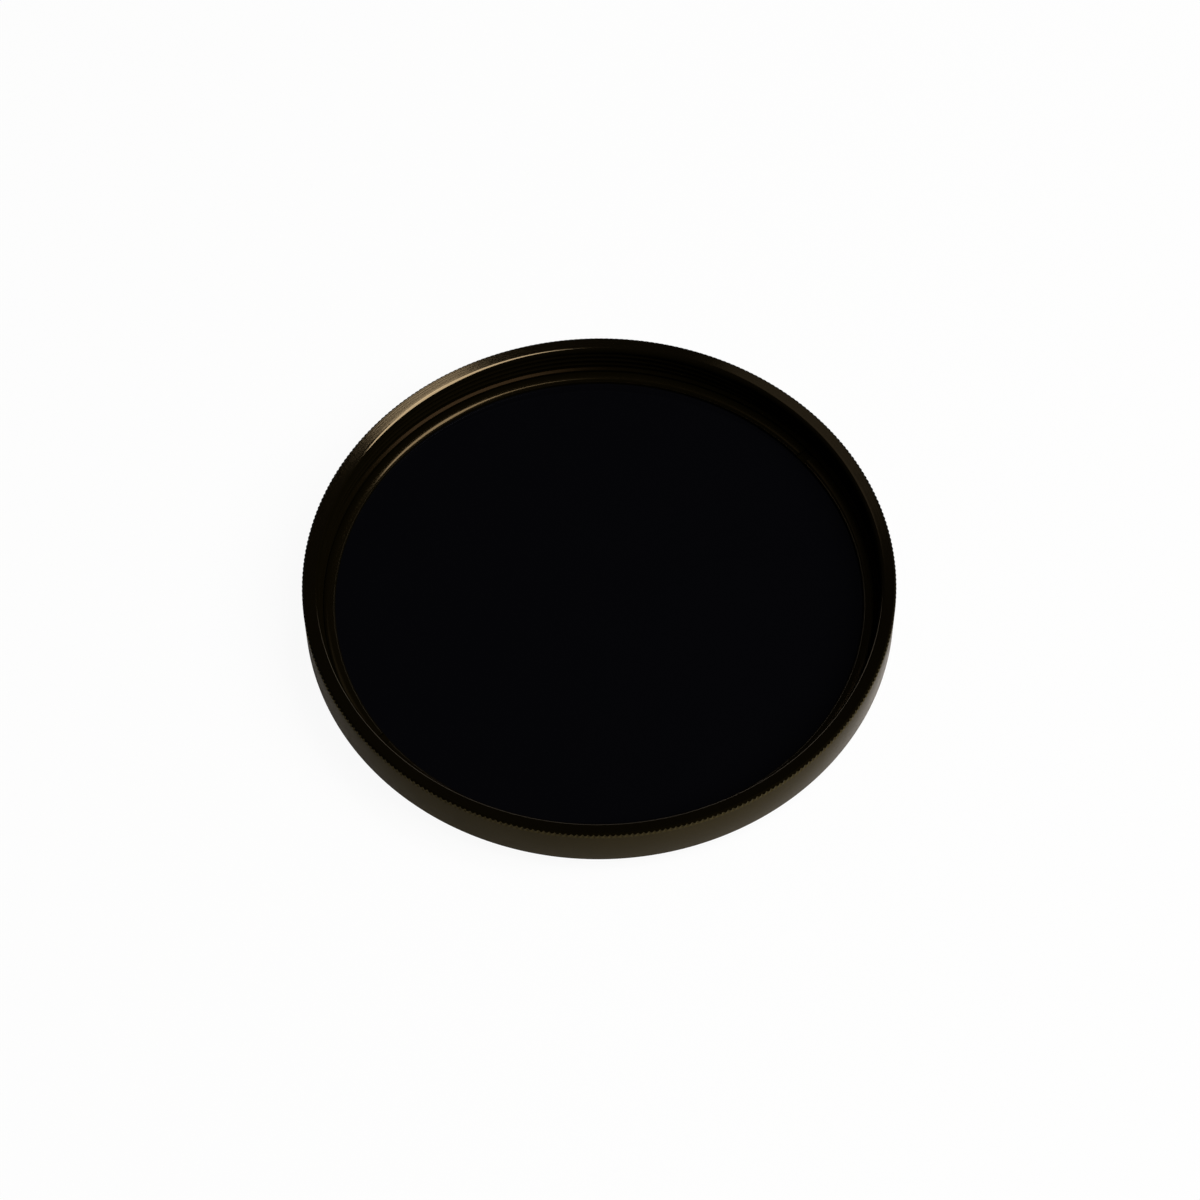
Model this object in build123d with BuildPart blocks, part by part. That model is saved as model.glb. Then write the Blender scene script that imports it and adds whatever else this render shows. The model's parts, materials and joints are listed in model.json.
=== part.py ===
from build123d import *
import os

# Screw-in lens filter: a turned and knurled ring, a dark glass disc and the ring that retains it.
# Millimetres. Z is the optical axis, the rear thread ends on z = 0 and the front rim faces +Z.

# Filter thread, of one size at the front and at the rear
thread_diameter = 58.0
thread_pitch = 0.75
thread_height_share = 0.5413  # of the pitch, from the nominal diameter to an inner thread's crest
rear_thread_allowance = 0.03

# Heights, stacked from the rear end face to the front rim
seat_thickness = 0.9
glass_thickness = 2.0
retainer_height = 0.6
retainer_sink = 0.15  # from the ledge's inner edge down to the retaining ring's top
ledge_fall = 0.15  # of the ledge in the bore, towards the glass
front_thread_length = 3.2

# Rear thread and the relief between it and the shoulder
rear_thread_length = 2.0
rear_thread_chamfer = 0.3
relief_width = 0.45
relief_depth = 0.4
relief_flank = 0.15
shoulder_land = 0.05  # from the thread's crest out to the flat of the shoulder

# Rim
rim_wall = 1.17  # outside the thread's nominal diameter
rim_chamfer = 0.25  # along the front edge
foot_chamfer = 0.14  # along the edge towards the lens
face_fall = 0.25  # of the front face, from its outer edge in to the bore
lip_radius = 0.55  # with which the front face rolls over into the bore

# Straight knurl around the front edge of the rim
knurl_count = 350
knurl_height = 0.6
knurl_depth = 0.12
knurl_groove = 0.38
knurl_overcut = 1.2  # how far a groove's cutter stands out of the rim, as a share of its depth

# Steps of the bore behind the front thread, each measured inwards from the one in front of it
ledge_width = 0.34
pocket_step = 0.35
seat_width = 0.9
aperture_chamfer = 0.2

# Glass disc
glass_clearance = 0.05
glass_bevel = 0.15

# Retaining ring
retainer_clearance = 0.03
retainer_lap = 0.82  # over the edge of the glass
retainer_bevel_width = 0.26
retainer_bevel_height = 0.25
retainer_edge = 0.08
retainer_floor_gap = 0.2  # left under it, so that it bears on the glass
slot_width = 1.2
slot_depth = 0.4
slot_angle = 38.0

# Radii
thread_radius = thread_diameter / 2
rear_thread_radius = thread_radius - rear_thread_allowance
relief_radius = rear_thread_radius - relief_depth
shoulder_radius = rear_thread_radius + shoulder_land
rim_radius = thread_radius + rim_wall
front_bore_radius = thread_radius - thread_height_share * thread_pitch
retainer_bore_radius = front_bore_radius - ledge_width
retainer_radius = retainer_bore_radius - retainer_clearance
pocket_radius = retainer_bore_radius - pocket_step
glass_radius = pocket_radius - glass_clearance
aperture_radius = glass_radius - seat_width
retainer_inner_radius = glass_radius - retainer_lap

# Heights above the rear end face
shoulder = rear_thread_length
glass_front = seat_thickness + glass_thickness
pocket_top = glass_front - retainer_floor_gap
retainer_top = glass_front + retainer_height
ledge_edge = retainer_top + retainer_sink
ledge = ledge_edge + ledge_fall
rim_top = ledge + front_thread_length
lip = rim_top - face_fall
knurl_floor = rim_top - knurl_height

# The ring is turned from one piece: its section goes from the rear end face up the outside and back down the bore
ring_section = [
    (aperture_radius + aperture_chamfer, 0),
    (rear_thread_radius - rear_thread_chamfer, 0),
    (rear_thread_radius, rear_thread_chamfer),
    (rear_thread_radius, shoulder - relief_width),
    (relief_radius, shoulder - relief_width),
    (relief_radius, shoulder - relief_flank),
    (shoulder_radius, shoulder),
    (rim_radius - foot_chamfer, shoulder),
    (rim_radius, shoulder + foot_chamfer),
    (rim_radius, rim_top - rim_chamfer),
    (rim_radius - rim_chamfer, rim_top),
    (front_bore_radius, lip),
    (front_bore_radius, ledge),
    (retainer_bore_radius, ledge_edge),
    (retainer_bore_radius, pocket_top),
    (pocket_radius, pocket_top),
    (pocket_radius, seat_thickness),
    (aperture_radius, seat_thickness),
    (aperture_radius, aperture_chamfer),
]

# One knurl groove seen from the front: a V whose point lies at the origin and whose mouth opens along +X
groove_reach = knurl_overcut * knurl_depth
groove_half_mouth = knurl_overcut * knurl_groove / 2
groove_outline = [(0, 0), (groove_reach, -groove_half_mouth), (groove_reach, groove_half_mouth)]

with BuildPart() as filter_ring:
    with BuildSketch(Plane.XZ) as ring_profile:
        with BuildLine():
            Polyline(*ring_section, close=True)
        make_face()
        lip_corner = ring_profile.vertices().sort_by_distance((front_bore_radius, lip))[0]
        fillet(lip_corner, radius=lip_radius)
    revolve(axis=Axis.Z)
    with BuildSketch(Plane.XY.offset(knurl_floor)):
        with PolarLocations(rim_radius - knurl_depth, knurl_count):
            Polygon(*groove_outline, align=None)
    extrude(amount=knurl_height, mode=Mode.SUBTRACT)

# The glass lies on the seat and is ground off along both of its edges
with BuildPart() as filter_glass:
    with BuildSketch(Plane.XY.offset(seat_thickness)):
        Circle(glass_radius)
    extrude(amount=glass_thickness)
    chamfer(filter_glass.edges().filter_by(GeomType.CIRCLE), glass_bevel)

# The retaining ring bears on the glass and opens towards the front with a narrow bevel
retainer_section = [
    (retainer_inner_radius, glass_front),
    (retainer_radius, glass_front),
    (retainer_radius, retainer_top - retainer_edge),
    (retainer_radius - retainer_edge, retainer_top),
    (retainer_inner_radius + retainer_bevel_width, retainer_top),
    (retainer_inner_radius, retainer_top - retainer_bevel_height),
]

with BuildPart() as retaining_ring:
    with BuildSketch(Plane.XZ):
        with BuildLine():
            Polyline(*retainer_section, close=True)
        make_face()
    revolve(axis=Axis.Z)
    # two slots for a spanner, opposite each other
    with BuildSketch(Plane.XY.offset(retainer_top)):
        Rectangle(2 * rim_radius, slot_width, rotation=slot_angle)
    extrude(amount=-slot_depth, mode=Mode.SUBTRACT)

os.makedirs("parts", exist_ok=True)
filter_ring.part.label = "filter_ring"
export_step(filter_ring.part, "parts/filter_ring.step")
filter_glass.part.label = "filter_glass"
export_step(filter_glass.part, "parts/filter_glass.step")
retaining_ring.part.label = "retaining_ring"
export_step(retaining_ring.part, "parts/retaining_ring.step")
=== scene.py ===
"""Screw-in lens filter: a knurled and threaded ring, a dark glass disc and the slotted ring that retains it.

Lengths are in metres. Z is the optical axis, the rear thread ends on z = 0 and the front rim faces +Z.
"""
import json
import math

import bpy
import numpy as np
from mathutils import Matrix, Vector


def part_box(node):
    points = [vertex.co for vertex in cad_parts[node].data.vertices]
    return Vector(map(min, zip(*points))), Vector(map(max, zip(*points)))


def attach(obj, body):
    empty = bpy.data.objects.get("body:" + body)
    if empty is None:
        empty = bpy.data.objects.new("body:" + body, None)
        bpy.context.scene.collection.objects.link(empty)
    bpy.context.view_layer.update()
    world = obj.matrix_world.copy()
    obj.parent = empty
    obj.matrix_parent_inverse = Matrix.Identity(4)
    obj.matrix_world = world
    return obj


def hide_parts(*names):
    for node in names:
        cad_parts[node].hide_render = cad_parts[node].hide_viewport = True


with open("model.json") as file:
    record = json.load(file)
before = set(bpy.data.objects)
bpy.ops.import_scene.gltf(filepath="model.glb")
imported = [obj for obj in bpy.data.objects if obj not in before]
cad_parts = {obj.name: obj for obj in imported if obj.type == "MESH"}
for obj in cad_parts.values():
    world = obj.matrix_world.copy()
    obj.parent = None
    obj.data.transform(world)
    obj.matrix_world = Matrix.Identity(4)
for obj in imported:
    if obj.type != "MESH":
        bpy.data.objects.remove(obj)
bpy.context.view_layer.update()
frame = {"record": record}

bl_info = {
    "name": "Screw-in lens filter",
    "version": (1, 0, 0),
    "blender": (4, 5, 0),
    "location": "3D view > Sidebar > Lens filter",
    "description": "Builds a screw-in lens filter around its solids and sets it on a lit white sweep",
    "category": "Add Mesh",
}

MM = 0.001
BODY = "root"

# Fineness of the meshes
GLASS_COLUMNS = 350
SWEEP_COLUMNS = 128
COVE_POINTS = 9
LIP_POINTS = 11
LIP_TURNED = 6  # points of the front face and its round edge that keep the face's finish
HALF_TURN_POINTS = 160  # on the retaining ring, from one slot to the other
SHARP_ANGLE = math.radians(25)

# Sizes of the patterns in the finishes
OXIDE_GRAIN = 0.2 * MM
DYE_PATCH = 5 * MM
TOOL_MARK_DEPTH = 0.01 * MM
DUST_PATCH = 9 * MM
PAPER_FIBRE = 1.5 * MM

WORLD_GREY = 0.008

ring_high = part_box("filter_ring")[1]
glass_low, glass_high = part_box("filter_glass")
retainer_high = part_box("retaining_ring")[1]
mounts = {mount["name"]: mount for mount in frame["record"]["mounts"]}


def linear(hex_colour):
    """The linear RGB of an sRGB hex colour."""
    parts = [int(hex_colour[i:i + 2], 16) / 255 for i in (1, 3, 5)]
    return [p / 12.92 if p <= 0.04045 else ((p + 0.055) / 1.055) ** 2.4 for p in parts]


def length(name, description, default):
    """A property that holds a length."""
    return bpy.props.FloatProperty(
        name=name, description=description, default=default, min=0, unit="LENGTH", precision=5)


def angle(name, description, default):
    """A property that holds an angle, with its default in degrees."""
    return bpy.props.FloatProperty(
        name=name, description=description, default=math.radians(default), subtype="ANGLE")


def colour(name, description, hex_colour):
    """A property that holds a colour, with its default as an sRGB hex value."""
    return bpy.props.FloatVectorProperty(
        name=name, description=description, default=linear(hex_colour), min=0, max=1, subtype="COLOR")


class RingSizes(bpy.types.PropertyGroup):
    """Sizes of the knurled and threaded ring."""

    rim_radius: length("Rim radius", "Outer radius of the rim", ring_high.x)
    rim_top: length("Rim top", "Height of the front face", ring_high.z)
    rim_chamfer: length("Rim chamfer", "Chamfer on the front edge of the rim", 0.25 * MM)
    foot_chamfer: length("Foot chamfer", "Chamfer on the rim's edge towards the lens", 0.14 * MM)
    face_fall: length("Face fall", "Fall of the front face from its outer edge in to the bore", 0.25 * MM)
    lip_radius: length("Lip radius", "With which the front face rolls over into the bore", 0.55 * MM)
    edge: length("Edge break", "How far every sharp edge is broken", 0.03 * MM)

    thread_pitch: length("Thread pitch", "Pitch of both filter threads", 0.75 * MM)
    front_bore_radius: length(
        "Front bore radius", "Crest of the front thread", mounts["front_thread"]["dims"]["r_mm"] * MM)
    front_thread_depth: length("Front thread depth", "From crest to root", 0.4 * MM)
    front_run_out: length("Front run-out", "Over which the front thread fades at either end", 0.35 * MM)
    rear_thread_radius: length(
        "Rear thread radius", "Crest of the rear thread", mounts["rear_thread"]["dims"]["r_mm"] * MM)
    rear_thread_depth: length("Rear thread depth", "From crest to root", 0.38 * MM)
    rear_chamfer: length("Rear chamfer", "Chamfer at the end of the rear thread", 0.3 * MM)

    shoulder: length("Shoulder", "Height of the shoulder", mounts["rear_shoulder"]["pos_m"][2])
    shoulder_land: length("Shoulder land", "From the thread's crest out to the shoulder", 0.05 * MM)
    relief_width: length("Relief width", "Groove between rear thread and shoulder", 0.45 * MM)
    relief_depth: length("Relief depth", "Depth of that groove under the thread's crest", 0.4 * MM)
    relief_flank: length("Relief flank", "Height of the groove's sloping side", 0.15 * MM)

    knurl_count: bpy.props.IntProperty(
        name="Knurl teeth", description="Teeth around the rim's front edge", default=350, min=3)
    knurl_height: length("Knurl height", "Height of the knurled band", 0.6 * MM)
    knurl_depth: length("Knurl depth", "Depth of a groove", 0.12 * MM)
    knurl_groove: length("Knurl groove", "Width of a groove at its mouth", 0.38 * MM)
    knurl_run_out: length("Knurl run-out", "Height over which a groove rises to the wall", 0.12 * MM)
    knurl_blunt: length("Knurl blunting", "Half the flat on a groove's bottom", 0.02 * MM)

    ledge_rise: length("Ledge rise", "From the retaining ring's top up to the ledge's inner edge", 0.15 * MM)
    ledge_fall: length("Ledge fall", "Fall of the ledge towards the glass", 0.15 * MM)
    retainer_clearance: length("Retainer clearance", "Around the retaining ring", 0.03 * MM)
    glass_clearance: length("Glass clearance", "Around the glass", 0.05 * MM)
    pocket_drop: length("Pocket drop", "From the glass front down to the pocket's edge", 0.2 * MM)
    seat_width: length("Seat width", "How far the seat reaches under the glass", 0.9 * MM)
    aperture_chamfer: length("Aperture chamfer", "Chamfer on the rear of the seat", 0.2 * MM)


class GlassSizes(bpy.types.PropertyGroup):
    """Sizes of the glass disc."""

    bevel: length("Bevel", "Ground bevel along both edges", 0.15 * MM)


class RetainerSizes(bpy.types.PropertyGroup):
    """Sizes of the retaining ring."""

    lap: length("Lap", "How far it laps over the edge of the glass", 0.82 * MM)
    bevel_width: length("Bevel width", "Width of the bevel towards the glass", 0.26 * MM)
    bevel_height: length("Bevel height", "Height of that bevel", 0.25 * MM)
    outer_edge: length("Outer edge", "Chamfer on the outer edge", 0.08 * MM)
    edge: length("Edge break", "How far every sharp edge is broken", 0.03 * MM)
    slot_width: length("Slot width", "Width of a spanner slot", 1.2 * MM)
    slot_depth: length("Slot depth", "Depth of a spanner slot", 0.4 * MM)
    slot_angle: angle("Slot angle", "Where the first slot lies, counted from +X", 38)


class Colours(bpy.types.PropertyGroup):
    """Colours of the finishes."""

    wall: colour("Wall", "Satin anodised wall", "#332c19")
    wall_mottle: colour("Wall mottle", "Lighter patches of the wall", "#38301d")
    # painted light: the knurl's colours are lighter than the wall's to lift the shade that falls in its
    # grooves
    knurl: colour("Knurl", "Knurled front edge", "#3c351f")
    knurl_mottle: colour("Knurl mottle", "Lighter patches of the knurl", "#423923")
    face: colour("Face", "Turned front face", "#060401")
    face_mottle: colour("Face mottle", "Lighter patches of the face", "#080602")
    bore: colour("Bore", "Matt bore and threads", "#080601")
    bore_mottle: colour("Bore mottle", "Lighter patches of the bore", "#0a0702")
    glass: colour("Glass", "Dense filter glass", "#050507")
    glass_haze: colour("Glass haze", "Where a trace of dust lies on it", "#060608")
    sweep: colour("Sweep", "White paper sweep", "#f4f3f1")


class StageSizes(bpy.types.PropertyGroup):
    """Camera, lamps and sweep."""

    camera_distance: length("Camera distance", "From the camera to the front face", 360 * MM)
    camera_height: angle("Camera height", "Angle of the view above the horizon", 56.8)
    camera_roll: angle("Camera roll", "Turn of the camera about its axis", 0.65)
    camera_lens: bpy.props.FloatProperty(
        name="Lens", description="Focal length in millimetres", default=106.4, min=1)
    aim_right: length("Aim right", "How far right of the ring's centre the camera aims", 0.1 * MM)
    aim_below: length("Aim below", "How far below the ring's centre the camera aims", 2.56 * MM)

    sweep_radius: length("Sweep radius", "Radius of the floor", 2.0)
    sweep_rise: length("Sweep rise", "Height of the sweep's upturned edge", 0.22)
    sweep_glow: bpy.props.FloatProperty(
        name="Sweep glow", description="Share of the sweep that shows as plain white", default=0.94,
        min=0, max=1, subtype="FACTOR")


def settings(group):
    """The scene's property group of that name."""
    return getattr(bpy.context.scene, "lens_filter_" + group)


class Turning:
    """The skin of a turned piece: closed loops around Z, each bridged to the next along the section."""

    def __init__(self, columns):
        self.columns = columns
        self.points = []
        self.faces = []
        self.finishes = []

    def loop(self, radius, height, angles=None):
        """Adds a closed loop of points and returns their numbers."""
        if angles is None:
            angles = even_angles(self.columns)
        radius, height, angles = np.broadcast_arrays(radius, height, angles)
        start = len(self.points)
        self.points += zip(radius * np.cos(angles), radius * np.sin(angles), height)
        return np.arange(start, len(self.points))

    def face(self, corners, finish):
        """Adds a face, without the corners that repeat."""
        corners = list(dict.fromkeys(int(corner) for corner in corners))
        if len(corners) > 2:
            self.faces.append(corners)
            self.finishes.append(finish)

    def bridge(self, first, second, finish):
        """Joins two loops, in one finish or with one to a column.

        One loop may have a whole number of times as many points as the other.
        """
        count = max(len(first), len(second))
        finishes = np.broadcast_to(finish, count).tolist()
        steps = np.arange(count + 1)
        near = first[(steps * len(first) + count // 2) // count % len(first)]
        far = second[(steps * len(second) + count // 2) // count % len(second)]
        for i in range(count):
            self.face((near[i], near[i + 1], far[i + 1], far[i]), finishes[i])

    def run(self, first, section, finish):
        """Bridges a loop to the plain loops of a section, in turn, and returns the last one."""
        for radius, height in section:
            following = self.loop(radius, height)
            self.bridge(first, following, finish)
            first = following
        return first

    def thread(self, start, end, pitch, corners, radius_at, finish):
        """Adds a right-hand thread from one height to another, and returns its first and last loops.

        The rows follow the helix through the profile's corners, given as shares of the pitch, and stop on
        the two end loops. radius_at gives the radius for a height and a share of the pitch.
        """
        way = 1 if end > start else -1
        rise = pitch * np.arange(self.columns) / self.columns
        turns = range(-1, math.ceil(abs(end - start) / pitch) + 2)
        steps = [turn + corner for turn in turns for corner in corners]

        def share(height):
            return way * (height - start - rise) / pitch % 1

        first = self.loop(radius_at(start, share(start)), start)
        last = self.loop(radius_at(end, share(end)), end)
        rows = []
        for step in steps:
            height = start + way * step * pitch + rise
            passed = way * (height - start)
            row = self.loop(radius_at(height, step % 1), height)
            row = np.where(passed <= 0, first, np.where(passed >= abs(end - start), last, row))
            rows.append(row)
        for j in range(len(rows) - 1):
            for i in range(self.columns):
                if i + 1 < self.columns:
                    side = rows[j][i + 1], rows[j + 1][i + 1]
                else:
                    side = [self.row_start(rows, k + way * len(corners), first, last) for k in (j, j + 1)]
                self.face((rows[j][i], *side, rows[j + 1][i]), finish)
        return first, last

    @staticmethod
    def row_start(rows, j, first, last):
        """The first point of a row, or of the end loop that lies beyond the rows."""
        if j < 0:
            return first[0]
        return last[0] if j >= len(rows) else rows[j][0]

    def build(self, name, finishes):
        """Makes the object: round along its turns and crisp where two surfaces meet."""
        used = sorted({corner for face in self.faces for corner in face})
        number = {old: new for new, old in enumerate(used)}
        mesh = bpy.data.meshes.new(name)
        faces = [[number[i] for i in face] for face in self.faces]
        mesh.from_pydata([self.points[i] for i in used], [], faces)
        for finish in finishes:
            mesh.materials.append(finish)
        mesh.polygons.foreach_set("material_index", self.finishes)
        mesh.shade_smooth()
        mesh.set_sharp_from_angle(angle=SHARP_ANGLE)
        mesh.validate()
        made = bpy.data.objects.new(name, mesh)
        bpy.context.scene.collection.objects.link(made)
        return made


def even_angles(count):
    """Angles evenly spaced around the axis."""
    return np.arange(count) * math.tau / count


def broken(section, edge):
    """A section's points with each corner but the two ends broken by a small flat."""
    points = [Vector(point) for point in section]
    made = [points[0]]
    for before, corner, after in zip(points, points[1:], points[2:]):
        for other in (before, after):
            way = other - corner
            made.append(corner + way * min(edge / way.length, 0.4))
    return made + [points[-1]]


def node(tree, kind, inputs=None, **options):
    """Adds a node, sets its options and fills its inputs with values or with other nodes' outputs."""
    made = tree.nodes.new(kind)
    for option, value in options.items():
        setattr(made, option, value)
    for socket, value in (inputs or {}).items():
        if isinstance(value, bpy.types.NodeSocket):
            tree.links.new(value, made.inputs[socket])
        else:
            made.inputs[socket].default_value = value
    return made


def opaque(rgb):
    """A colour with full alpha."""
    return (*rgb, 1)


def material(name):
    """A new material with an empty node tree."""
    made = bpy.data.materials.new(name)
    made.use_nodes = True
    made.node_tree.nodes.clear()
    return made, made.node_tree


def anodised(name, base, mottle, rough, feed, cut, **shader):
    """Black anodised aluminium, turned: the tool's rings, the fine grain of the oxide and patches of dye."""
    if name in bpy.data.materials:
        return bpy.data.materials[name]
    made, tree = material(name)
    place = node(tree, "ShaderNodeTexCoord").outputs["Object"]
    height = node(tree, "ShaderNodeSeparateXYZ", {"Vector": place}).outputs["Z"]
    flat = node(tree, "ShaderNodeVectorMath", {0: place, 1: (1, 1, 0)},
                operation="MULTIPLY").outputs["Vector"]
    radius = node(tree, "ShaderNodeVectorMath", {0: flat}, operation="LENGTH").outputs["Value"]
    # grows along every turned surface: outwards on a face, upwards on a wall, and also down a chamfer
    height_share = 0.6
    along = node(tree, "ShaderNodeMath", {0: height, 1: height_share, 2: radius},
                 operation="MULTIPLY_ADD").outputs["Value"]
    rings = node(tree, "ShaderNodeTexNoise", {"W": along, "Scale": 1 / feed, "Detail": 2},
                 noise_dimensions="1D").outputs["Fac"]
    grain = node(tree, "ShaderNodeTexNoise", {
        "Vector": place, "Scale": 1 / OXIDE_GRAIN, "Detail": 3}).outputs["Fac"]
    patches = node(tree, "ShaderNodeTexNoise", {
        "Vector": place, "Scale": 1 / DYE_PATCH, "Detail": 4}).outputs["Fac"]
    dye = node(tree, "ShaderNodeMix", {
        "Factor": patches, 6: opaque(base), 7: opaque(mottle)}, data_type="RGBA")
    gloss = node(tree, "ShaderNodeMapRange", {
        "Value": grain, "From Min": 0.3, "From Max": 0.7, "To Min": 0.9 * rough, "To Max": 1.1 * rough})
    turned = node(tree, "ShaderNodeBump", {"Height": rings, "Strength": cut, "Distance": TOOL_MARK_DEPTH})
    etched = node(tree, "ShaderNodeBump", {
        "Height": grain, "Strength": 0.35 * rough, "Distance": TOOL_MARK_DEPTH,
        "Normal": turned.outputs["Normal"]})
    around = node(tree, "ShaderNodeTangent", direction_type="RADIAL", axis="Z").outputs["Tangent"]
    skin = node(tree, "ShaderNodeBsdfPrincipled", {
        "Base Color": dye.outputs[2], "Roughness": gloss.outputs["Result"],
        "Normal": etched.outputs["Normal"], "Tangent": around, **shader})
    node(tree, "ShaderNodeOutputMaterial", {"Surface": skin.outputs["BSDF"]})
    return made


SATIN_COAT = {
    "IOR": 1.5, "Specular IOR Level": 0.0055, "Specular Tint": opaque(linear("#ffd9a0")),
    "Sheen Weight": 0.33, "Sheen Roughness": 0.24, "Sheen Tint": opaque(linear("#fff7f0"))}


def satin_wall():
    """Satin black anodised aluminium: a dull brown-black, with a soft sheen where the lit wall turns away."""
    colours = settings("colours")
    return anodised(
        "anodised_aluminium_satin", colours.wall, colours.wall_mottle, rough=0.6, feed=0.2 * MM, cut=0.2,
        **SATIN_COAT)


def knurl_painted_lighter():
    """Satin black anodised aluminium pressed into teeth, painted lighter than the wall: painted light that
    lifts the shade in the grooves.
    """
    colours = settings("colours")
    return anodised(
        "anodised_aluminium_knurled", colours.knurl, colours.knurl_mottle, rough=0.6, feed=0.2 * MM, cut=0.2,
        **SATIN_COAT)


def turned_face():
    """Black anodised aluminium, finely turned: its rings spread the lamp across the ring, not along it."""
    colours = settings("colours")
    return anodised(
        "anodised_aluminium_turned", colours.face, colours.face_mottle, rough=0.105, feed=0.12 * MM, cut=0.1,
        **{"IOR": 1.76, "Specular IOR Level": 0.47, "Specular Tint": opaque(linear("#ffdeac")),
           "Anisotropic": 0.2, "Anisotropic Rotation": 0.25})


def matt_bore():
    """Matt black anodised aluminium in the bore and threads, which keep stray light down."""
    colours = settings("colours")
    return anodised(
        "anodised_aluminium_matt", colours.bore, colours.bore_mottle, rough=0.6, feed=0.2 * MM, cut=0.2,
        **{"IOR": 1.5, "Specular IOR Level": 0.01, "Specular Tint": opaque(linear("#ffd9a0"))})


def dulled_ledge():
    """Black anodised aluminium on the ledge in the bore, with a weaker and rougher reflection than the face:
    a soft brown gleam.
    """
    colours = settings("colours")
    return anodised(
        "anodised_aluminium_dulled", colours.bore, colours.bore_mottle, rough=0.218, feed=0.16 * MM, cut=0.2,
        **{"IOR": 1.5, "Specular IOR Level": 0.06, "Specular Tint": opaque(linear("#ffc890")),
           "Anisotropic": 0.4, "Anisotropic Rotation": 0.25})


def retainer_finish():
    """Black anodised aluminium on the retaining ring, turned a little coarser than the face."""
    colours = settings("colours")
    return anodised(
        "anodised_aluminium_retainer", colours.bore, colours.bore_mottle, rough=0.17, feed=0.16 * MM, cut=0.2,
        **{"IOR": 1.5, "Specular IOR Level": 0.43, "Specular Tint": opaque(linear("#ffd9a0")),
           "Anisotropic": 0.4, "Anisotropic Rotation": 0.25})


def filter_glass():
    """Dense optical glass, polished and coated: black, with a faint blue reflection and a trace of dust."""
    colours = settings("colours")
    made, tree = material("coated_optical_glass")
    place = node(tree, "ShaderNodeTexCoord").outputs["Object"]
    film = node(tree, "ShaderNodeTexNoise", {
        "Vector": place, "Scale": 1 / DUST_PATCH, "Detail": 5}).outputs["Fac"]
    tint = node(tree, "ShaderNodeMix", {
        "Factor": film, 6: opaque(colours.glass), 7: opaque(colours.glass_haze)}, data_type="RGBA")
    gloss = node(tree, "ShaderNodeMapRange", {
        "Value": film, "From Min": 0.3, "From Max": 0.7, "To Min": 0.02, "To Max": 0.05})
    skin = node(tree, "ShaderNodeBsdfPrincipled", {
        "Base Color": tint.outputs[2], "Roughness": gloss.outputs["Result"], "IOR": 1.52,
        "Specular IOR Level": 0.4, "Specular Tint": opaque(linear("#dfe4ff"))})
    node(tree, "ShaderNodeOutputMaterial", {"Surface": skin.outputs["BSDF"]})
    return made


def white_sweep():
    """Matt white paper: shows as white to the eye and in reflections, and keeps part of the shadow."""
    stage = settings("stage")
    made, tree = material("matt_white_paper")
    place = node(tree, "ShaderNodeTexCoord").outputs["Object"]
    fibre = node(tree, "ShaderNodeTexNoise", {
        "Vector": place, "Scale": 1 / PAPER_FIBRE, "Detail": 3}).outputs["Fac"]
    paper = settings("colours").sweep
    shade = node(tree, "ShaderNodeMix", {
        "Factor": fibre, 6: opaque(paper), 7: opaque([0.98 * part for part in paper])}, data_type="RGBA")
    matt = node(tree, "ShaderNodeBsdfDiffuse", {"Color": shade.outputs[2]}).outputs["BSDF"]
    white = node(tree, "ShaderNodeEmission", {"Color": (1, 1, 1, 1), "Strength": 1}).outputs["Emission"]
    ray = node(tree, "ShaderNodeLightPath").outputs
    seen = node(tree, "ShaderNodeMath", {0: ray["Is Camera Ray"], 1: ray["Is Glossy Ray"]}).outputs["Value"]
    seen = node(tree, "ShaderNodeMath", {0: seen, 1: ray["Is Transmission Ray"]},
                use_clamp=True).outputs["Value"]
    share = node(tree, "ShaderNodeMath", {0: seen, 1: stage.sweep_glow},
                 operation="MULTIPLY").outputs["Value"]
    mixed = node(tree, "ShaderNodeMixShader", {0: share, 1: matt, 2: white}).outputs["Shader"]
    node(tree, "ShaderNodeOutputMaterial", {"Surface": mixed})
    return made


WALL, KNURL, FACE, BORE, LEDGE = range(5)


def knurl(turning, size, start):
    """Adds the knurled front edge of the rim above a loop, and returns its last loop.

    Six columns to a tooth: the groove's blunted bottom, and the two ends of the broken edge on either side.
    """
    mouth = size.knurl_groove / 2
    offsets = np.array([size.knurl_blunt, mouth - size.edge, mouth + size.edge])
    depths = size.knurl_depth * np.clip(1 - offsets / mouth, 0, 1)
    offsets = np.concatenate([offsets, math.tau * size.rim_radius / size.knurl_count - offsets[::-1]])
    depths = np.tile(np.concatenate([depths, depths[::-1]]), size.knurl_count)
    angles = np.add.outer(even_angles(size.knurl_count), offsets / size.rim_radius).ravel()

    floor = size.rim_top - size.knurl_height
    radius = size.rim_radius - depths
    rows = [
        (size.rim_radius, floor, WALL),
        (radius, floor + size.knurl_run_out, KNURL),
        (radius, size.rim_top - size.rim_chamfer + depths, KNURL),
        (size.rim_radius - size.rim_chamfer, size.rim_top, BORE),
    ]
    for *row, finish in rows:
        following = turning.loop(*row, angles)
        turning.bridge(start, following, finish)
        start = following
    return start


def rear_thread(turning, size):
    """Adds the rear thread, chamfered at its end and open to the relief, and returns its two end loops."""
    crest = size.rear_thread_radius
    corners = (0, 0.03, 0.1, 0.14, 0.28, 0.4, 0.44, 0.66, 0.7, 0.86, 0.96)
    profile = np.interp(corners, (0.0, 0.12, 0.42, 0.68, 0.98), (0, 0, 1, 1, 0))

    def radius_at(height, share):
        depth = np.interp(share, corners, profile, period=1) * size.rear_thread_depth
        return np.minimum(crest - depth, crest - size.rear_chamfer + height)

    end = size.shoulder - size.relief_width
    return turning.thread(0, end, size.thread_pitch, corners, radius_at, BORE)


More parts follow.
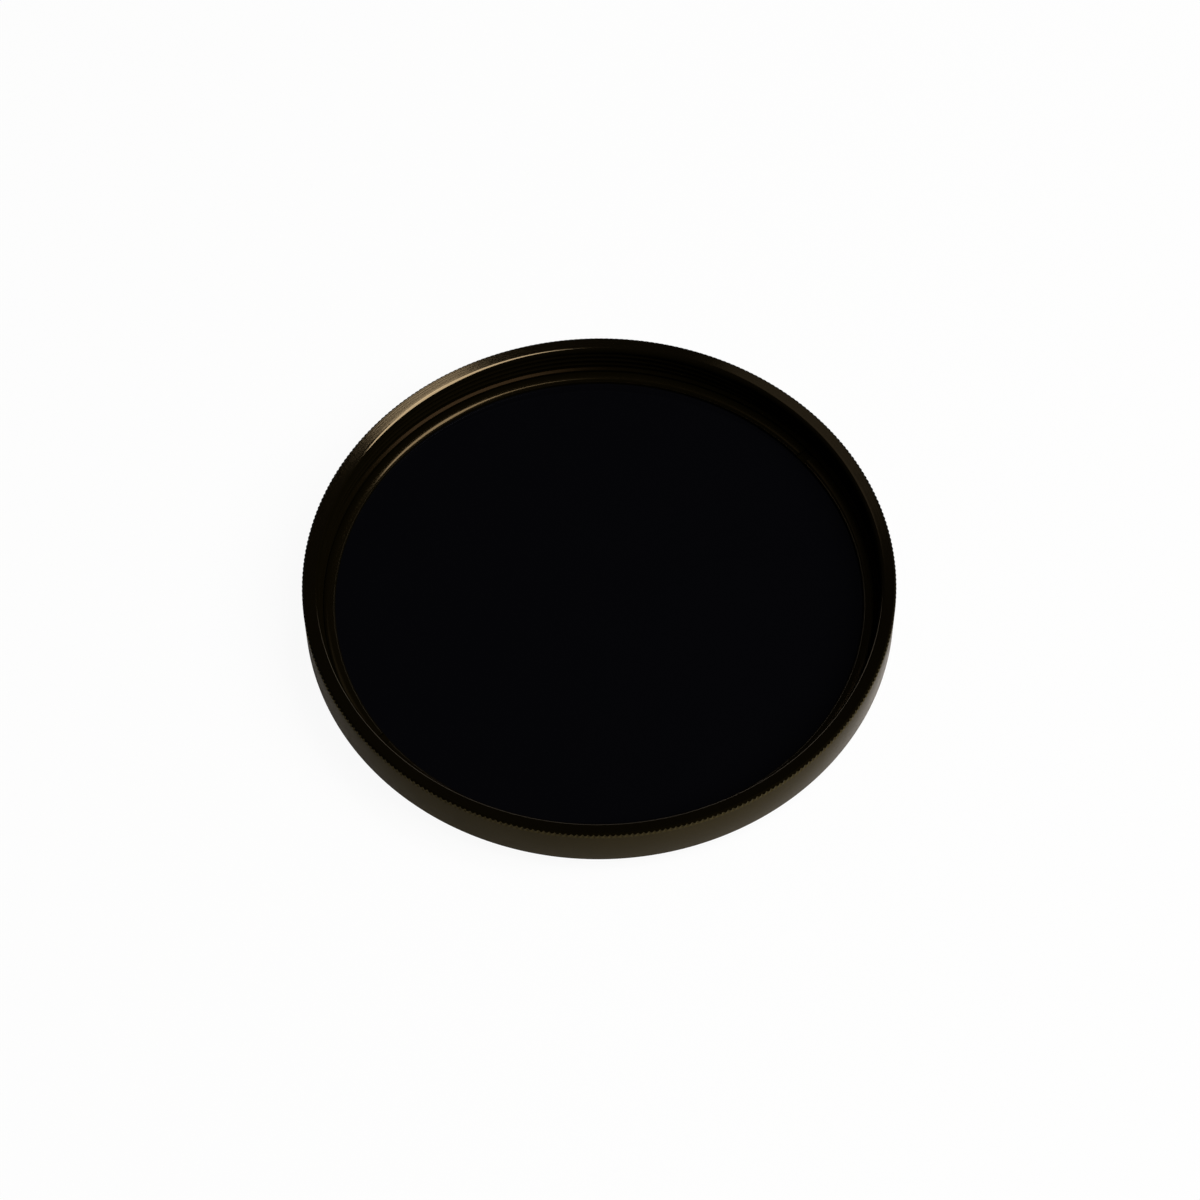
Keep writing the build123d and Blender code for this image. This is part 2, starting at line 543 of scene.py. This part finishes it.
def lip(size):
    """The section of the front face's round inner edge, from the face's slope to the upright bore."""
    slope = math.atan2(size.face_fall, size.rim_radius - size.rim_chamfer - size.front_bore_radius)
    reach = size.lip_radius / math.tan((math.pi / 2 + slope) / 2)
    radius = size.front_bore_radius + size.lip_radius
    height = size.rim_top - size.face_fall - reach
    round_edge = [(radius - size.lip_radius * math.sin(tilt), height + size.lip_radius * math.cos(tilt))
                  for tilt in np.linspace(slope, math.pi / 2, LIP_POINTS)]
    # a point on the slope just outside keeps the face flat up to the round
    start_radius, start_height = round_edge[0]
    return [(start_radius + size.edge, start_height + size.edge * math.tan(slope)), *round_edge]


def front_thread(turning, size, start, end):
    """Adds the front thread, which fades out at the lip and at the ledge, and returns its two end loops."""
    corners = (0.01, 0.23, 0.28, 0.54, 0.58, 0.67, 0.71, 0.98)
    depths = (0, 0.03, 0.12, 0.92, 1, 1, 0.92, 0.03)

    def radius_at(height, share):
        fade = np.clip(np.minimum(start - height, height - end) / size.front_run_out, 0, 1)
        depth = np.interp(share, corners, depths, period=1) * size.front_thread_depth
        return size.front_bore_radius + depth * fade

    return turning.thread(start, end, size.thread_pitch, corners, radius_at, BORE)


class AddRing(bpy.types.Operator):
    """Build the knurled and threaded ring"""

    bl_idname = "lens_filter.add_ring"
    bl_label = "Ring"

    def execute(self, context):
        size = settings("ring")
        turning = Turning(size.knurl_count)
        edge = size.edge
        ledge_edge = retainer_high.z + size.ledge_rise
        ledge = ledge_edge + size.ledge_fall
        seat = glass_low.z
        pocket_top = glass_high.z - size.pocket_drop
        relief_radius = size.rear_thread_radius - size.relief_depth
        rim_foot = size.shoulder + size.foot_chamfer
        retainer_bore = retainer_high.x + size.retainer_clearance
        pocket_radius = glass_high.x + size.glass_clearance
        aperture = glass_high.x - size.seat_width

        rear, relief = rear_thread(turning, size)
        outside = broken([
            (relief_radius, size.shoulder - size.relief_width),
            (relief_radius, size.shoulder - size.relief_flank),
            (size.rear_thread_radius + size.shoulder_land, size.shoulder),
            (size.rim_radius - size.foot_chamfer, size.shoulder),
            (size.rim_radius, rim_foot),
            (size.rim_radius, size.rim_top - size.knurl_height - edge),
        ], edge)
        wall = turning.run(relief, outside, WALL)
        rim = knurl(turning, size, wall)
        *face, (_, bore_top) = lip(size)
        opening, bottom = front_thread(turning, size, bore_top, ledge + 3 * edge)
        # the bore's matt coat reaches up over the steep part of the round edge
        turned = turning.run(rim, face[:LIP_TURNED], FACE)
        steep = turning.run(turned, face[LIP_TURNED:], BORE)
        turning.bridge(steep, opening, BORE)
        step = broken([
            (size.front_bore_radius, ledge + 2 * edge),
            (size.front_bore_radius, ledge),
            (retainer_bore, ledge_edge),
            (retainer_bore, ledge_edge - 2 * edge),
        ], edge)
        step = turning.run(turning.run(bottom, step[:2], BORE), step[2:], LEDGE)
        inside = broken([
            (retainer_bore, ledge_edge - 3 * edge),
            (retainer_bore, pocket_top),
            (pocket_radius, pocket_top),
            (pocket_radius, seat),
            (aperture, seat),
            (aperture, size.aperture_chamfer),
            (aperture + size.aperture_chamfer, 0),
            (aperture + size.aperture_chamfer + edge, 0),
        ], edge)
        turning.bridge(turning.run(step, inside, BORE), rear, BORE)

        finishes = [satin_wall(), knurl_painted_lighter(), turned_face(), matt_bore(), dulled_ledge()]
        ring = turning.build("knurled_ring", finishes)
        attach(ring, BODY)
        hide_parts("filter_ring")
        return {"FINISHED"}


class AddGlass(bpy.types.Operator):
    """Build the dark glass disc"""

    bl_idname = "lens_filter.add_glass"
    bl_label = "Glass"

    def execute(self, context):
        size = settings("glass")
        turning = Turning(GLASS_COLUMNS)
        radius, low, high = glass_high.x, glass_low.z, glass_high.z
        edges = [
            (radius, low + size.bevel),
            (radius, high - size.bevel),
            (radius - size.bevel, high),
        ]
        rim = turning.loop(radius - size.bevel, low)
        top = turning.run(rim, edges, 0)
        # the flat sides: fewer points towards the middle, where the last ones close with one face
        for start, height, outwards in ((top, high, 1), (rim, low, -1)):
            for count, share in ((70, 0.7), (14, 0.25)):
                following = turning.loop(radius * share, height, even_angles(count))
                turning.bridge(*(start, following)[::outwards], 0)
                start = following
            turning.face(start[::outwards], 0)
        glass = turning.build("dark_glass", [filter_glass()])
        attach(glass, BODY)
        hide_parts("filter_glass")
        return {"FINISHED"}


class AddRetainer(bpy.types.Operator):
    """Build the slotted retaining ring"""

    bl_idname = "lens_filter.add_retainer"
    bl_label = "Retaining ring"

    def execute(self, context):
        size = settings("retainer")
        outer, low, high = retainer_high.x, glass_high.z, retainer_high.z
        inner = glass_high.x - size.lap
        half = size.slot_width / 2
        # beside each slot the columns stand parallel to it: flat top, broken edge, wall, floor
        steps = np.array([half + size.edge, half, half - size.edge / 10])
        across = np.concatenate([-steps, [0], steps[::-1]])
        cut = np.array([0, size.edge, size.slot_depth, size.slot_depth, size.slot_depth, size.edge, 0])
        between = np.linspace(0, math.pi, HALF_TURN_POINTS)[2:-2]
        angles, offsets, drops = [], [], []
        for slot in (size.slot_angle, size.slot_angle + math.pi):
            angles += [*np.full(len(across), slot), *(slot + between)]
            offsets += [*across, *np.zeros(len(between))]
            drops += [*cut, *np.zeros(len(between))]
        angles, offsets, floor = np.array(angles), np.array(offsets), high - np.array(drops)

        turning = Turning(len(angles))
        section = [
            (inner, low),
            (outer, low),
            (outer, high - size.outer_edge),
            (outer - size.outer_edge, high),
            (inner + size.bevel_width, high),
            (inner, high - size.bevel_height),
        ]
        section = broken([section[-1], *section, section[0]], size.edge)[1:-1]
        loops = [turning.loop(r, np.minimum(z, floor), angles + np.arcsin(offsets / r)) for r, z in section]
        # the slots and the wall around the glass are matt
        finishes = ([1] * (len(across) - 1) + [0] * (len(between) + 1)) * 2
        for loop, following in zip(loops, loops[1:]):
            turning.bridge(loop, following, finishes)
        turning.bridge(loops[-1], loops[0], 1)
        ring = turning.build("slotted_retaining_ring", [retainer_finish(), matt_bore()])
        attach(ring, BODY)
        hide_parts("retaining_ring")
        return {"FINISHED"}


def lamp(name, azimuth, height, distance, wide, tall, radiance):
    """A softbox that faces the object: azimuth from +X towards +Y, height from the horizon, in degrees."""
    data = bpy.data.lights.new(name, "AREA")
    data.shape = "RECTANGLE"
    data.size, data.size_y = wide, tall
    data.energy = radiance * math.pi * wide * tall
    made = bpy.data.objects.new(name, data)
    turn, lift = math.radians(azimuth), math.radians(height)
    back = Vector((math.cos(turn) * math.cos(lift), math.sin(turn) * math.cos(lift), math.sin(lift)))
    made.location = back * distance
    made.rotation_euler = (-back).to_track_quat("-Z", "Y").to_euler()
    bpy.context.scene.collection.objects.link(made)


def camera(stage):
    """A camera that looks down at the front face from the -Y side."""
    lift = stage.camera_height
    back = Vector((0, -math.cos(lift), math.sin(lift)))
    right = Vector((1, 0, 0))
    up = back.cross(right)
    roll = Matrix.Rotation(-stage.camera_roll, 3, back)
    right, up = roll @ right, roll @ up
    centre = Vector((0, 0, ring_high.z))
    data = bpy.data.cameras.new("camera")
    data.lens = stage.camera_lens
    made = bpy.data.objects.new("camera", data)
    bpy.context.scene.collection.objects.link(made)
    made.location = centre + back * stage.camera_distance
    back = (made.location - (centre + right * stage.aim_right - up * stage.aim_below)).normalized()
    right = up.cross(back).normalized()
    up = back.cross(right)
    made.rotation_euler = Matrix((right, up, back)).transposed().to_euler()
    bpy.context.scene.camera = made


class AddStage(bpy.types.Operator):
    """Set the white sweep, the lamps and the camera"""

    bl_idname = "lens_filter.add_stage"
    bl_label = "Stage"

    def execute(self, context):
        stage = settings("stage")
        turning = Turning(SWEEP_COLUMNS)
        radius, rise = stage.sweep_radius, stage.sweep_rise
        rim = turning.loop(radius, rise)
        bend = np.linspace(0, math.pi / 2, COVE_POINTS)[1:]
        cove = [(radius - rise * (1 - math.cos(a)), rise * (1 - math.sin(a))) for a in bend]
        rim = turning.run(rim, cove, 0)
        turning.face(rim, 0)
        sweep = turning.build("white_sweep", [white_sweep()])

        lamp("key_softbox", azimuth=-19, height=55, distance=0.8, wide=0.45, tall=0.78, radiance=6.8)
        lamp("top_strip", azimuth=40.3, height=70, distance=0.8, wide=0.31, tall=0.09, radiance=4.3)
        lamp("fill_softbox", azimuth=128, height=63, distance=0.9, wide=0.25, tall=0.27, radiance=0.22)
        world = bpy.data.worlds.new("dim_studio")
        world.use_nodes = True
        world.node_tree.nodes["Background"].inputs["Color"].default_value = opaque([WORLD_GREY] * 3)
        context.scene.world = world
        camera(stage)
        context.scene.view_settings.view_transform = "Standard"
        return {"FINISHED"}


class LensFilterPanel(bpy.types.Panel):
    """Lists the pieces, their sizes and their colours"""

    bl_idname = "VIEW3D_PT_lens_filter"
    bl_label = "Lens filter"
    bl_space_type = "VIEW_3D"
    bl_region_type = "UI"
    bl_category = "Lens filter"

    def draw(self, context):
        for operator in OPERATORS:
            self.layout.operator(operator.bl_idname)
        for group in GROUPS:
            box = self.layout.box()
            box.label(text=group.capitalize())
            for name in GROUPS[group].__annotations__:
                box.prop(settings(group), name)


GROUPS = {
    "ring": RingSizes,
    "glass": GlassSizes,
    "retainer": RetainerSizes,
    "colours": Colours,
    "stage": StageSizes,
}
OPERATORS = (AddRing, AddGlass, AddRetainer, AddStage)


def register():
    for made in (*GROUPS.values(), *OPERATORS, LensFilterPanel):
        bpy.utils.register_class(made)
    for name, group in GROUPS.items():
        setattr(bpy.types.Scene, "lens_filter_" + name, bpy.props.PointerProperty(type=group))


def unregister():
    for name in GROUPS:
        delattr(bpy.types.Scene, "lens_filter_" + name)
    for made in (LensFilterPanel, *reversed(OPERATORS), *GROUPS.values()):
        bpy.utils.unregister_class(made)


def main():
    register()
    bpy.ops.lens_filter.add_ring()
    bpy.ops.lens_filter.add_glass()
    bpy.ops.lens_filter.add_retainer()
    bpy.ops.lens_filter.add_stage()
    bpy.context.view_layer.update()


if __name__ == "__main__":
    main()
